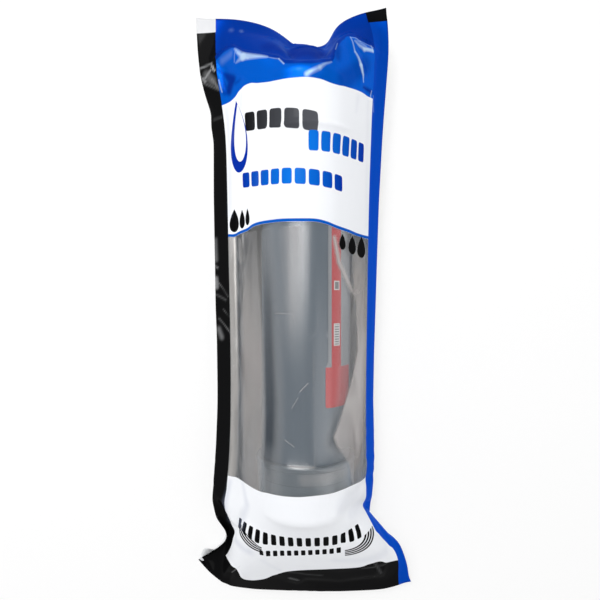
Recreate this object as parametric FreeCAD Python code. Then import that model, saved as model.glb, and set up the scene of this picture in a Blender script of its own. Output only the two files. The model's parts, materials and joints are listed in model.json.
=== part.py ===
import FreeCAD, Part
import math
import os

# Inline carbon block water filter, sealed in its printed film pouch.
# The pack lies on its back: length along Y (top of the print at +Y), width along X, front film facing +Z.
# Origin: centre of the pack's outline, on the surface it lies on. Millimetres.

Vec = FreeCAD.Vector

# ---- cartridge housing ----
tube_od = 51.0            # pipe body
tube_wall = 2.0
tube_length = 225.0
cap_wall = 2.5            # socket skirt
cap_lip_bead = 0.5        # bead that stands out at the skirt's open edge
cap_bead_length = 2.4
cap_skirt_step = 0.35     # the skirt thins by this past the step line
cap_step_from_lip = 9.6
cap_socket_depth = 22.5   # how far the pipe goes in
cap_ledge = 1.5           # stop for the pipe's end
cap_chamber_depth = 7.2   # hollow between the stop and the end wall
cap_end_wall = 3.0
cap_shoulder_radius = 5.0
cap_lip_chamfer = 0.6
boss_od = 26.0            # port boss
boss_length = 14.5
boss_chamfer = 1.2
port_bore = 11.8          # tapping size of the pipe thread
port_depth = 13.0
port_neck_bore = 8.0      # from the port into the chamber
stub_od = 20.0            # inner sleeve that takes the block's spigot
stub_bore = 14.2
stub_length = 13.5

# ---- carbon block inside ----
water_gap = 3.5           # between the pipe's wall and the block
block_bore = 12.0
end_play = 0.5            # between the sleeves and what they hold, lengthwise
wrap_wall = 1.0           # non-woven wrap
core_wall = 1.5           # slotted core pipe
core_slot_width = 2.4
core_slot_length = 18.0
core_slots_around = 4
core_slot_rows = 8
disc_slip = 0.1           # between the wrap and the rims of the discs on the block's ends
disc_floor = 2.5
disc_rim_wall = 0.9
disc_rim_depth = 5.0
spigot_slip = 0.1         # radial play of the spigot in the stub
spigot_length = 12.0
spigot_bore = 7.0
o_ring_section = 2.0
o_ring_corners = 10       # the round section is drawn with this many flats
o_ring_spacing = 5.0
o_ring_first = 3.5        # from the disc's face to the first ring's middle
spider_arms = 4
spider_arm_width = 3.0
spider_thickness = 3.0
spider_hub_lap = 0.5      # the hub reaches this far past the sleeve's rim
spider_hub_bore = 13.0
spider_slip = 0.2         # radial play of the arms in the pipe

# ---- plugs pushed into the ports for storage ----
plug_flange_od = 18.0
plug_flange = 2.0
plug_shank_length = 9.0
plug_wall = 1.4
plug_slip = 0.05

# ---- label round the right-hand side and back of the pipe ----
label_thickness = 0.2
label_start_deg = 27.5    # from the crown of the pipe, clockwise seen from the outlet end
label_end_deg = 205.0
label_top = 64.0          # from the cartridge's middle
label_bottom = -59.5
label_foot_start_deg = 24.0
label_foot_length = 21.6
label_foot_radius = 1.2
label_shoulder = 3.0      # slant from the strip to the foot

# ---- pouch ----
film_wall = 0.4           # stands for a film of about 0.12 mm
film_gap = 0.7            # between the front film and the caps
floor_gap = 0.1           # between the back film and the caps
strip_press = 0.1         # taken off the back film where it lies flat on the surface
strip_half_width = 14.0
axis_x = 1.0              # the cartridge lies a little to the right in the pouch
middle_y = 1.3
crown_rise = 0.4          # control points over the film they carry
left_band = 13.0          # control width of the side seals: about two thirds of it is sealed
right_band = 9.5

# ---- sizes that follow ----
tube_r = tube_od / 2
cap_od = tube_od + 2 * cap_wall
cap_r = cap_od / 2
boss_r = boss_od / 2
axis_z = cap_r + cap_lip_bead + film_wall - strip_press + floor_gap
cap_skirt = cap_socket_depth + cap_chamber_depth + cap_end_wall
half_tube = tube_length / 2
chamber_end = half_tube + cap_chamber_depth
half_body = chamber_end + cap_end_wall
half_length = half_body + boss_length
pipe_top = axis_z + tube_r
crown_z = 2 * cap_r + 2 * cap_lip_bead + film_wall + floor_gap + film_gap + crown_rise
spigot_od = stub_bore - 2 * spigot_slip
groove_r = stub_bore / 2 - o_ring_section
disc_face = chamber_end - stub_length - end_play     # outer faces of what fills the space between the sleeves
block_start = -disc_face + disc_floor
block_end = disc_face - spider_thickness - disc_floor
block_length = block_end - block_start
block_od = tube_od - 2 * (tube_wall + water_gap)
disc_od = block_od + 2 * (wrap_wall + disc_slip + disc_rim_wall)
low_end = middle_y - half_body
high_end = middle_y + half_body


def axial(points):
    """A solid of revolution about the cartridge's axis from (y, radius) points, in its own frame."""
    wire = Part.makePolygon([Vec(r, y, 0) for y, r in points + points[:1]])
    return Part.Face(wire).revolve(Vec(0, 0, 0), Vec(0, 1, 0), 360)


def ring(y0, y1, outer, inner=0.0):
    """A plain round piece from y0 to y1."""
    body = Part.makeCylinder(outer, y1 - y0, Vec(0, y0, 0), Vec(0, 1, 0))
    if inner > 0:
        body = body.cut(Part.makeCylinder(inner, y1 - y0 + 2, Vec(0, y0 - 1, 0), Vec(0, 1, 0)))
    return body


def circle_edges(shape, y, radius):
    """The circular edges of a turned shape at one place along the axis."""
    found = []
    for edge in shape.Edges:
        curve = edge.Curve
        if isinstance(curve, Part.Circle) and abs(curve.Radius - radius) < 1e-4:
            if abs(curve.Center.y - y) < 1e-4:
                found.append(edge)
    return found


def end_cap():
    """Moulded cap for the +Y end: socket skirt, chamber, end wall, port boss and inner sleeve."""
    lip = half_tube - cap_socket_depth
    step = lip + cap_step_from_lip
    skirt_r = cap_r - cap_skirt_step
    bead_r = cap_r + cap_lip_bead
    chamber_r = tube_r - cap_ledge
    neck = half_length - port_depth
    cap = axial([
        (lip, tube_r), (lip, bead_r), (lip + cap_bead_length, bead_r),
        (lip + cap_bead_length + cap_lip_bead, cap_r), (step, cap_r), (step + cap_skirt_step, skirt_r),
        (half_body, skirt_r), (half_body, boss_r), (half_length, boss_r),
        (half_length, port_bore / 2), (neck, port_bore / 2), (neck, port_neck_bore / 2),
        (chamber_end, port_neck_bore / 2), (chamber_end, stub_bore / 2),
        (chamber_end - stub_length, stub_bore / 2), (chamber_end - stub_length, stub_od / 2),
        (chamber_end, stub_od / 2), (chamber_end, chamber_r), (half_tube, chamber_r), (half_tube, tube_r),
    ])
    cap = cap.makeFillet(cap_shoulder_radius, circle_edges(cap, half_body, skirt_r))
    cap = cap.makeChamfer(cap_lip_chamfer, circle_edges(cap, lip, bead_r))
    return cap.makeChamfer(boss_chamfer, circle_edges(cap, half_length, boss_r))


def port_plug():
    """Push-in storage plug for the +Y port: hollow shank and a round flange."""
    shank_r = port_bore / 2 - plug_slip
    inner_end = half_length - plug_shank_length
    plug = axial([
        (inner_end, 0), (inner_end, shank_r), (half_length, shank_r),
        (half_length, plug_flange_od / 2), (half_length + plug_flange, plug_flange_od / 2),
        (half_length + plug_flange, shank_r - plug_wall), (inner_end + plug_wall, shank_r - plug_wall),
        (inner_end + plug_wall, 0),
    ])
    rim = circle_edges(plug, half_length + plug_flange, plug_flange_od / 2)
    return plug.makeChamfer(plug_flange / 3, rim)


def to_outlet_end(shape):
    """The same moulding turned round for the -Y end."""
    turned = shape.copy()
    turned.rotate(Vec(0, 0, 0), Vec(0, 0, 1), 180)
    return turned


def core_tube():
    """Core pipe with rows of slots that let the water in from the block."""
    outer = block_bore / 2
    pipe = ring(block_start, block_end, outer, outer - core_wall)
    pitch = block_length / core_slot_rows
    cutters = []
    for row in range(core_slot_rows):
        y = block_start + pitch * (row + 0.5) - core_slot_length / 2
        for k in range(core_slots_around):
            slot = Part.makeBox(core_slot_width, core_slot_length, outer + 1,
                                Vec(-core_slot_width / 2, y, 0))
            slot.rotate(Vec(0, 0, 0), Vec(0, 1, 0), 360 * (k + 0.5 * (row % 2)) / core_slots_around)
            cutters.append(slot)
    return pipe.cut(Part.makeCompound(cutters))


def end_disc(inner_face, outward, floor_hole):
    """Cup that closes one end of the block: floor and rim. outward is +1 or -1 along Y."""
    floor_y = sorted([inner_face, inner_face + outward * disc_floor])
    rim_y = sorted([inner_face, inner_face - outward * disc_rim_depth])
    rim_inner = disc_od / 2 - disc_rim_wall
    disc = ring(floor_y[0], floor_y[1], disc_od / 2, floor_hole)
    return disc.fuse(ring(rim_y[0], rim_y[1], disc_od / 2, rim_inner)).removeSplitter()


def outlet_disc():
    """End disc with the grooved spigot that plugs into the outlet cap's sleeve."""
    spigot_r = spigot_od / 2
    groove = o_ring_section / 2 + 0.1
    tip = -disc_face - spigot_length
    points = [(-disc_face, spigot_bore / 2), (-disc_face, spigot_r)]
    for k in range(2):
        middle = -disc_face - o_ring_first - k * o_ring_spacing
        points += [(middle + groove, spigot_r), (middle + groove, groove_r),
                   (middle - groove, groove_r), (middle - groove, spigot_r)]
    points += [(tip, spigot_r), (tip, spigot_bore / 2)]
    return end_disc(block_start, -1, spigot_bore / 2).fuse(axial(points)).removeSplitter()


def o_rings():
    """The two rings in the spigot's grooves."""
    rings = []
    for k in range(2):
        middle = -disc_face - o_ring_first - k * o_ring_spacing
        reach = o_ring_section / 2
        section = []
        for corner in range(o_ring_corners):
            a = 2 * math.pi * (corner + 0.5) / o_ring_corners
            section.append((middle + reach * math.sin(a), groove_r + reach + reach * math.cos(a)))
        rings.append(axial(section))
    return Part.makeCompound(rings)


def centring_spider():
    """Star between the block's closed end and the inlet cap's sleeve."""
    face = block_end + disc_floor
    star = ring(face, face + spider_thickness, stub_od / 2 + spider_hub_lap)
    reach = tube_r - tube_wall - spider_slip
    for k in range(spider_arms):
        arm = Part.makeBox(spider_arm_width, spider_thickness, reach + 1,
                           Vec(-spider_arm_width / 2, face, 0))
        arm.rotate(Vec(0, 0, 0), Vec(0, 1, 0), 360 * (k + 0.5) / spider_arms)
        star = star.fuse(arm)
    star = star.common(ring(face, face + spider_thickness, reach))
    return star.cut(ring(face - 1, face + spider_thickness + 1, spider_hub_bore / 2)).removeSplitter()


def sector(y0, y1, start_deg, end_deg, inner, outer):
    """Part of a round wall between two angles from the crown (+Z), turning towards +X."""
    wall = Part.Face(Part.makePolygon([
        Vec(0, y0, inner), Vec(0, y1, inner), Vec(0, y1, outer), Vec(0, y0, outer), Vec(0, y0, inner)]))
    wall.rotate(Vec(0, 0, 0), Vec(0, 1, 0), start_deg)
    return wall.revolve(Vec(0, 0, 0), Vec(0, 1, 0), end_deg - start_deg)


def side_label():
    """Wrapped sticker: a strip whose front edge steps out to a wider foot with a rounded lower corner."""
    outer = tube_r + label_thickness
    sheet = sector(label_bottom, label_top, label_foot_start_deg, label_end_deg, tube_r, outer)
    strip_x = outer * math.sin(math.radians(label_start_deg))
    foot_x = outer * math.sin(math.radians(label_foot_start_deg))
    foot_top = label_bottom + label_foot_length
    slant_top = foot_top + label_shoulder
    above_foot = Part.Face(Part.makePolygon([
        Vec(0, foot_top, 0), Vec(foot_x, foot_top, 0), Vec(strip_x, slant_top, 0),
        Vec(strip_x, label_top + 1, 0), Vec(0, label_top + 1, 0), Vec(0, foot_top, 0)]))
    radius = label_foot_radius
    corner = Part.makeBox(foot_x + radius, radius + 1, outer + 1, Vec(0, label_bottom - 1, 0))
    corner = corner.cut(Part.makeCylinder(radius, outer + 1, Vec(foot_x + radius, label_bottom + radius, 0)))
    return sheet.cut(above_foot.extrude(Vec(0, 0, outer + 1))).cut(corner)


def place(shape):
    """From the cartridge's own frame to where it lies in the pouch."""
    moved = shape.copy()
    moved.translate(Vec(axis_x, middle_y, axis_z))
    return moved


# ---- pouch film: each film is a cubic surface over one grid of control points ----
# One row per station from the bottom edge up. An edge point is (distance out from the cap's side, y, z, how far its
# seal drops outward). The end rows add (y, z) at a quarter, half and three quarters of the way across. The others
# add the front's middle (y, z), (how round it is there, radius, degrees between control points left and right),
# the back's middle (y, z) and (how flat it lies there, spread of its lifting points, their lift left and right).
bottom_edge = ((40.5, low_end - 45.2, 6.3, 0.3), (39.2, low_end - 55.2, 8.9, 2.2),
               (low_end - 59.2, 13.1), (low_end - 56.5, 14.1), (low_end - 58.1, 13.9))
bottom_band = ((26.3, low_end - 32.2, 7.8, 10.7), (35.0, low_end - 42.6, 11.9, 4.9),
               (low_end - 47.4, 21.0), (low_end - 44.5, 20.6), (low_end - 46.4, 19.8))
top_band = ((34.9, high_end + 28.9, 25.3, 1.6), (21.5, high_end + 39.7, 25.9, 0.2),
            (high_end + 28.7, 31.0), (high_end + 20.2, 30.5), (high_end + 24.6, 30.2))
top_edge = ((34.0, high_end + 40.1, 26.5, -0.6), (19.7, high_end + 46.4, 26.0, 0.6),
            (high_end + 37.8, 25.9), (high_end + 26.9, 22.7), (high_end + 31.3, 23.2))
stations = [
    ((20.0, low_end - 31.3, 13.1, 13.4), (34.9, low_end - 30.5, 14.0, 7.4),
     (low_end - 20.5, crown_z - 18.7), (0.00, cap_r + 1.2, 18.0, 25.0),
     (low_end - 35.1, 9.1), (1.00, 3.13, 1.5, -1.8)),
    ((23.0, low_end - 10.0, 13.8, 10.4), (12.6, low_end - 4.7, 16.1, 8.4),
     (low_end - 0.9, crown_z - 3.9), (1.00, cap_r + 6.0, 18.6, 22.1),
     (low_end - 12.9, 0.0), (1.00, 2.50, 9.9, -0.3)),
    ((29.1, low_end + 2.4, 15.5, 9.7), (16.1, low_end + 6.7, 15.8, 9.7),
     (low_end + 2.7, crown_z + 2.6), (1.00, cap_r - 2.9, 22.3, 23.4),
     (low_end + 0.2, 0.0), (1.00, 2.19, 9.7, 0.1)),
    ((23.4, 0.763 * low_end, 16.9, 9.5), (17.1, 0.770 * low_end, 16.8, 8.7),
     (0.742 * low_end, pipe_top + 4.0), (1.00, tube_r + 5.3, 21.0, 23.3),
     (0.758 * low_end, 0.0), (1.00, 2.21, 8.1, 0.9)),
    ((23.5, 0.463 * low_end, 16.5, 9.8), (16.0, 0.462 * low_end, 15.4, 9.7),
     (0.445 * low_end, pipe_top + 0.5), (1.00, tube_r + 2.2, 19.0, 22.5),
     (0.450 * low_end, 0.0), (1.00, 2.30, 5.6, 1.4)),
    ((24.2, 0.001 * low_end, 16.7, 8.7), (17.8, 0.001 * high_end, 15.6, 9.2),
     (0.002 * low_end, pipe_top + 2.6), (1.00, tube_r + 1.8, 19.3, 21.9),
     (0.001 * low_end, 0.0), (1.00, 2.24, 5.5, 1.7)),
    ((26.0, 0.441 * high_end, 17.3, 9.3), (19.0, 0.459 * high_end, 16.6, 8.4),
     (0.447 * high_end, pipe_top + 0.4), (1.00, tube_r + 1.7, 19.3, 22.1),
     (0.433 * high_end, 0.0), (1.00, 2.18, 6.3, 4.6)),
    ((25.8, 0.739 * high_end, 17.4, 10.6), (20.5, 0.735 * high_end, 18.4, 7.5),
     (0.758 * high_end, pipe_top + 4.2), (1.00, tube_r + 3.8, 19.6, 22.2),
     (0.723 * high_end, 0.0), (1.00, 2.09, 7.9, 9.2)),
    ((28.7, high_end - 8.6, 19.8, 9.4), (21.9, high_end - 8.1, 20.6, 6.2),
     (high_end - 1.8, crown_z + 1.6), (1.00, cap_r + 0.8, 18.8, 22.1),
     (high_end - 2.6, 0.0), (1.00, 1.88, 9.1, 9.9)),
    ((32.4, high_end + 6.3, 23.3, 6.2), (22.6, high_end + 8.5, 22.2, 5.1),
     (high_end - 1.8, crown_z - 2.2), (0.96, cap_r + 3.2, 17.9, 20.6),
     (high_end + 3.9, 3.4), (0.51, 2.22, 5.2, 3.2)),
    ((33.6, high_end + 21.9, 24.3, 4.0), (24.3, high_end + 26.6, 24.0, 3.5),
     (high_end + 16.0, crown_z - 13.7), (0.00, cap_r + 1.2, 18.0, 25.0),
     (high_end + 17.9, 18.0), (0.66, 2.17, 5.0, -0.1)),
]


def crown_reach(radius, step):
    """How far control points set at this angle apart stand from the axis of the round crown."""
    return radius * 3 / (2 + math.cos(step))


def across(left, middle, right, share):
    """A value on the parabola through three, share running from -1 to 1."""
    return middle + share * (right - left) / 2 + share * share * ((left + right) / 2 - middle)


def across_five(values, share):
    """A value on the curve through five evenly spaced ones, share running from -1 to 1."""
    total, places = 0.0, (-1, -0.5, 0, 0.5, 1)
    for value, here in zip(values, places):
        weight = 1.0
        for other in places:
            if other != here:
                weight *= (share - other) / (here - other)
        total += value * weight
    return total


def seal_bands(left, right):
    """Edge points and inner edges of the two side seals at one station."""
    left_out, right_out = Vec(-cap_r - left[0], left[1], left[2]), Vec(cap_r + right[0], right[1], right[2])
    return left_out, left_out + Vec(left_band, 0, left[3]), right_out + Vec(-right_band, 0, right[3]), right_out


def with_bands(left_out, left_in, middle, right_in, right_out):
    """A whole row: four points across the left seal, those between, four across the right seal."""
    left = [left_out + (left_in - left_out) * (k / 3) for k in range(4)]
    return left + middle + [right_in + (right_out - right_in) * (k / 3) for k in range(4)]


def end_row(row):
    """The 15 control points of an end row, shared by both films."""
    left_out, left_in, right_in, right_out = seal_bands(row[0], row[1])
    inner = [left_in, *(Vec(0, y, z) for y, z in row[2:]), right_in]
    middle = [Vec(across(left_in.x, (left_in.x + right_in.x) / 2, right_in.x, k / 4),
                  across_five([p.y for p in inner], k / 4), across_five([p.z for p in inner], k / 4))
              for k in range(-3, 4)]
    return with_bands(left_out, left_in, middle, right_in, right_out)


def film_row(station, front):
    """The 15 control points of one film at one station, left edge first."""
    left, right, front_middle, front_form, back_middle, back_form = station
    left_out, left_in, right_in, right_out = seal_bands(left, right)
    (mid_y, mid_z), form = (front_middle, front_form) if front else (back_middle, back_form)
    middle = []
    for k in range(-3, 4):
        loose = Vec(across(left_in.x, (left_in.x + right_in.x) / 2, right_in.x, k / 4),
                    across(left_in.y, mid_y, right_in.y, k / 4), across(left_in.z, mid_z, right_in.z, k / 4))
        if front:
            step = math.radians(form[2] if k < 0 else form[3])
            reach = crown_reach(form[1], step)
            held = Vec(axis_x + reach * math.sin(k * step), loose.y, mid_z + reach * (math.cos(k * step) - 1))
        else:
            lifted = abs(k) == 3
            spread = strip_half_width * (form[1] if lifted else abs(k) / 2)
            lift = (form[2] if k < 0 else form[3]) if lifted else 0
            held = Vec(axis_x + math.copysign(spread, k), loose.y, mid_z + film_wall - strip_press + lift)
        middle.append(loose + (held - loose) * form[0])
    return with_bands(left_out, left_in, middle, right_in, right_out)


def between(row_a, row_b, share):
    """Control points part of the way from one row to the next."""
    return [a + (b - a) * share for a, b in zip(row_a, row_b)]


def film_grid(front):
    """All rows of one film: the two end seals are shared, the rows between them are the film's own."""
    low, low_in, high_in, high = (end_row(row) for row in (bottom_edge, bottom_band, top_band, top_edge))
    rows = [between(low, low_in, k / 3) for k in range(4)]
    rows += [film_row(station, front) for station in stations]
    return rows + [between(high_in, high, k / 3) for k in range(4)]


def pole_normal(grid, i, j):
    """Upward direction square to the grid at one control point."""
    along = grid[min(i + 1, len(grid) - 1)][j] - grid[max(i - 1, 0)][j]
    over = grid[i][min(j + 1, len(grid[0]) - 1)] - grid[i][max(j - 1, 0)]
    normal = over.cross(along)
    return normal / normal.Length


def cubic_surface(grid):
    """Clamped uniform cubic B-spline face over a grid of control points."""
    surface = Part.BSplineSurface()
    spans_u, spans_v = len(grid) - 3, len(grid[0]) - 3
    mults_u = [4] + [1] * (spans_u - 1) + [4]
    mults_v = [4] + [1] * (spans_v - 1) + [4]
    surface.buildFromPolesMultsKnots(grid, mults_u, mults_v, list(range(spans_u + 1)),
                                     list(range(spans_v + 1)), False, False, 3, 3)
    return surface.toShape()


def film_solid(front):
    """One film: the face that meets the other film, a second face one wall away, and the cut edge."""
    grid = film_grid(front)
    side = 1 if front else -1
    outer = [[grid[i][j] + pole_normal(grid, i, j) * side * film_wall for j in range(len(grid[0]))]
             for i in range(len(grid))]
    inner_face, outer_face = cubic_surface(grid), cubic_surface(outer)
    rims = []
    for a, b in zip(inner_face.OuterWire.Edges, outer_face.OuterWire.Edges):
        rims.append(Part.makeRuledSurface(a, b))
    shell = Part.makeShell([inner_face, outer_face] + rims)
    shell.sewShape()
    solid = Part.Solid(shell)
    if solid.Volume < 0:
        solid.reverse()
    return solid


def pressed_flat(film):
    """The back film with its lowest strip cut to a true plane, where the pack rests."""
    box = film.BoundBox
    below = Part.makeBox(box.XLength, box.YLength, box.ZLength, Vec(box.XMin, box.YMin, -box.ZLength))
    return film.cut(below)


def write(shape, name):
    """Save one piece under its node name, with the frame's origin under the middle of the pack."""
    shape.exportStep(os.path.join("parts", name + ".step"))
    print(name, "valid" if shape.isValid() else "NOT VALID", round(shape.Volume, 1))


os.makedirs("parts", exist_ok=True)
cap, plug = end_cap(), port_plug()
pieces = {
    "housing_tube": ring(-half_tube, half_tube, tube_r, tube_r - tube_wall),
    "inlet_end_cap": cap,
    "outlet_end_cap": to_outlet_end(cap),
    "inlet_port_plug": plug,
    "outlet_port_plug": to_outlet_end(plug),
    "side_label": side_label(),
    "carbon_block": ring(block_start, block_end, block_od / 2, block_bore / 2),
    "block_wrap": ring(block_start, block_end, block_od / 2 + wrap_wall, block_od / 2),
    "core_tube": core_tube(),
    "closed_end_disc": end_disc(block_end, 1, 0),
    "outlet_end_disc": outlet_disc(),
    "outlet_o_rings": o_rings(),
    "centring_spider": centring_spider(),
}
pieces = {name: place(shape) for name, shape in pieces.items()}
pieces["pouch_front_film"] = film_solid(True)
pieces["pouch_back_film"] = pressed_flat(film_solid(False))
outline = Part.makeCompound(list(pieces.values())).optimalBoundingBox()
for name, shape in pieces.items():
    shape.translate(Vec(-outline.Center.x, -outline.Center.y, 0))
    write(shape, name)
print("moved by", round(-outline.Center.x, 3), round(-outline.Center.y, 3), "lowest", round(outline.ZMin, 4))
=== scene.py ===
import bpy
import json
import math
import mathutils
import numpy as np
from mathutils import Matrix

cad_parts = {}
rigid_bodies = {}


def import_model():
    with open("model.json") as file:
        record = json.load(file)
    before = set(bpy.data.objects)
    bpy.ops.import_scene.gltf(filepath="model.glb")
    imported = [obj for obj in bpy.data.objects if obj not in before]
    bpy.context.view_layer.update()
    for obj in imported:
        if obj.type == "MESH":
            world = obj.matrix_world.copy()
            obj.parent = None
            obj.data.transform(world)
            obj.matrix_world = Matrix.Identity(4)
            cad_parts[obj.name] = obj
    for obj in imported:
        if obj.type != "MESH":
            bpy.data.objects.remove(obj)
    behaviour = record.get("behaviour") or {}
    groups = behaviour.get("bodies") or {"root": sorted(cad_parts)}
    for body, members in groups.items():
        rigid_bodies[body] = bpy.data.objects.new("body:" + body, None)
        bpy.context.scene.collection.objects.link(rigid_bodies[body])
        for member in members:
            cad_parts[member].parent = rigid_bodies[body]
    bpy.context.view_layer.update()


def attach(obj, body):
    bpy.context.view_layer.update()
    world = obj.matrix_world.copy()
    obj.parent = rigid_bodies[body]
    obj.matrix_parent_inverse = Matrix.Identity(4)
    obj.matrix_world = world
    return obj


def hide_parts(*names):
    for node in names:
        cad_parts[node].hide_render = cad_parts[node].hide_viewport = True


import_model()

# The photo looks straight down. Lengths of the film work are millimetres in the pack's own frame.
view = {"height": 300.0, "centreX": -2.24, "centreY": -0.59, "mmPerPixel": 0.59, "planeZ": 25.0, "middle": 300.0,
        "lens": 27.97, "sensor": 36.0, "clip": (0.01, 10.0)}
shift = {"x": 0.610, "y": 4.903}  # from the film work's middle to the frame's origin

pouch = {
    "width": 131.0, "length": 352.0, "wall": 0.12, "skin": 0.01,  # the wall stands this far off the weave
    "apart": 0.3, "lowest": 0.25,  # the films keep this far from each other, and from what the pouch lies on
    "carry": 0.9, "fastest": 1.5,  # share of a point's last move that it keeps, and the longest such move
    "meshGap": 1.0, "quickGap": 3.0,  # spacing of the finished mesh
    "riseRate": 0.1, "cornerRate": 0.6, "slantRate": 0.6,
    "leftSeal": 17.0, "rightSeal": 9.0, "bottomSeal": 12.0, "topSeal": 10.0,
    "edge": {  # where the four edges lie in the photo, and how high each stands along it
        "left": [(196, 17), (197, 50), (199, 77), (204.5, 95), (209.5, 108), (211.7, 115), (210.6, 127), (213, 142),
                 (212.6, 199), (213.4, 240), (214, 269), (214.4, 307), (216, 338), (216.7, 384), (216.7, 403),
                 (215, 441), (213.4, 472), (212.6, 502.5), (216, 518), (224.4, 528.5), (228.7, 534.6),
                 (226, 540.7), (216, 549), (198, 559)],
        "bottom": [(198, 559), (212, 574), (225, 586.6), (256.5, 590.5), (287, 591.7), (341, 592.5), (383.6, 591),
                   (398, 588), (412, 582)],
        "right": [(386.5, 7), (389, 20), (389, 54), (386.6, 92), (382.8, 153), (379.8, 200), (377.5, 261),
                  (374.4, 353), (373.6, 399), (374.4, 426), (375, 456.5), (373, 487), (369, 511.6), (369.8, 521),
                  (383.6, 530), (400.4, 542), (409.6, 564), (412, 582)],
        "top": [(196, 17), (216.7, 17.6), (241, 19), (256.5, 22), (271.8, 27.6), (284, 36.7), (291.7, 43),
                (305.5, 46.7), (318, 48), (327, 46), (331.5, 36.7), (333.8, 27.6), (340, 21.4), (350, 15.3),
                (367.5, 8.4), (386.5, 7)],
    },
    "rise": {
        "left": ([17, 60, 110, 142, 210, 455, 531, 549, 559], [27, 24, 19, 16, 15, 14.5, 15, 10, 6]),
        "right": ([8, 50, 108, 147, 205, 456, 500, 521, 541, 562, 582], [27, 24, 19, 16, 15, 14.5, 16, 16, 13, 11, 7]),
        "bottom": ([198, 256, 320, 383, 412], [6, 10, 13, 11, 7]),
        "top": ([196, 256, 318, 333, 386], [27, 25, 21, 23, 27]),
    },
    "corners": [((0, 0), (198, 559)), ((0, -1), (412, 582)), ((-1, 0), (196, 17)), ((-1, -1), (386.5, 7))],
    "start": {  # first shape: ends of both sides and of the middle, width, lean and height by share of the length
        "left": (-164, 165), "right": (-178, 170), "middle": (-177, 148),
        "wide": ([0, .1, .2, .5, .8, 1], [1, .8, .76, .76, .8, .87]), "lean": ([0, .1, .5, 1], [0, -4, -5.5, -7.5]),
        "base": ([0, .1, .5, .9, 1], [9, 14, 16, 20, 26]),
        "foot": (-172, 45), "head": (160, 35), "half": 42, "top": 58, "power": 0.8, "under": 0.3, "backRate": 1.6,
    },
    "calm": {"from": 322, "over": 12, "rounds": 14, "allOver": 2},
    # Shrinkage of the weave: across the film by height, and along it as the product of one table by height and one
    # across. It stands for the film's small wrinkles, which draw it in.
    "acrossShare": ([0, .12, .25, .8, .92, 1], [1.03, 1, .955, .955, .985, 1]),
    "alongShare": ([0, .1, .2, .5, .65, .9, 1], [-.5, 0, 1.3, 1.1, .5, .3, .3]),
    "alongSide": ([0, .1, .35, .8, 1], [-.055, -.05, 0, 0, .014]),
    "stages": [  # spacing, steps, rounds a step, air, weight, pull to the edges, bending, seal stiffness
        {"gap": 6.0, "steps": 220, "rounds": 6, "air": 0.04,
         "weight": 0.010, "pull": 0.4, "bend": 0.15, "stiff": 0.05},
        {"gap": 3.0, "steps": 160, "rounds": 8, "air": 0.022,
         "weight": 0.003, "pull": 0.4, "bend": 0.20, "stiff": 0.15},
        {"gap": 1.5, "steps": 70, "rounds": 12, "air": 0.006,
         "weight": 0.001, "pull": 0.3, "bend": 0.20, "stiff": 0.30},
    ],
}
cartridge = {"x": 1.0, "y": 1.3, "z": 28.9, "pipe": 25.6, "cap": 28.0, "capFrom": 88.5, "halfBody": 122.7,
             "bead": 0.5, "beadAt": 89.3, "shoulder": 5.0, "boss": 13.0, "halfLength": 139.2, "clear": 0.35,
             "capOver": 2.0, "beadFull": 2.2, "beadWide": 1.5, "bossRound": 1.0}


# Millimetres in one pixel of the photo at height z.
def mmAt(z):
    return view["mmPerPixel"] * (view["height"] - z) / (view["height"] - view["planeZ"])


# Where points show in the photo: perspective from straight above.
def pixelOf(p):
    s = mmAt(p[..., 2])
    return view["middle"] + (p[..., 0] - view["centreX"]) / s, view["middle"] - (p[..., 1] - view["centreY"]) / s


# A polyline divided evenly by its length.
def evenly(line, count=240):
    p = np.array(line, float)
    run = np.concatenate([[0], np.cumsum(np.hypot(*(p[1:] - p[:-1]).T))])
    t = np.linspace(0, run[-1], count)
    return np.stack([np.interp(t, run, p[:, 0]), np.interp(t, run, p[:, 1])], 1)


# Move pairs of points along the line between them until they are rest apart.
def pull(a, b, rest, k):
    d = b - a
    length = np.sqrt((d * d).sum(-1, keepdims=True)) + 1e-9
    c = d * (0.5 * k * (length - rest) / length)
    a += c
    b -= c


# One round over the weave of the film: across, along, slanting both ways, and every second point for bending.
# Here and below, p holds the points of both films, by film, row and column.
def keepLengths(p, across, along, slant, bend):
    for s in (0, 1):
        pull(p[:, :, s:-1:2], p[:, :, s + 1::2], across, 1.0)
        pull(p[:, s:-1:2], p[:, s + 1::2], along[:, s::2], 1.0)
    for s in (0, 1):
        n = (p.shape[1] - s) // 2 * 2
        low, high, rest = p[:, s:s + n:2], p[:, s + 1:s + n:2], slant[:, s:s + n - 1:2]
        pull(low[:, :, :-1], high[:, :, 1:], rest, pouch["slantRate"])
        pull(low[:, :, 1:], high[:, :, :-1], rest, pouch["slantRate"])
    for s in range(4):
        n = (p.shape[2] - s + 1) // 4
        pull(p[:, :, s::4][:, :, :n], p[:, :, s + 2::4][:, :, :n], 2 * across, bend)
        m = (p.shape[1] - s + 1) // 4
        pull(p[:, s::4][:, :m], p[:, s + 2::4][:, :m], 2 * along[:, s::4][:, :m], bend)


# Unit normals of a grid from the differences between neighbours.
def upward(p):
    across, along = np.gradient(p, axis=-2), np.gradient(p, axis=-3)
    n = np.cross(across, along)
    return n / (np.sqrt((n * n).sum(-1, keepdims=True)) + 1e-9)


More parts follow.
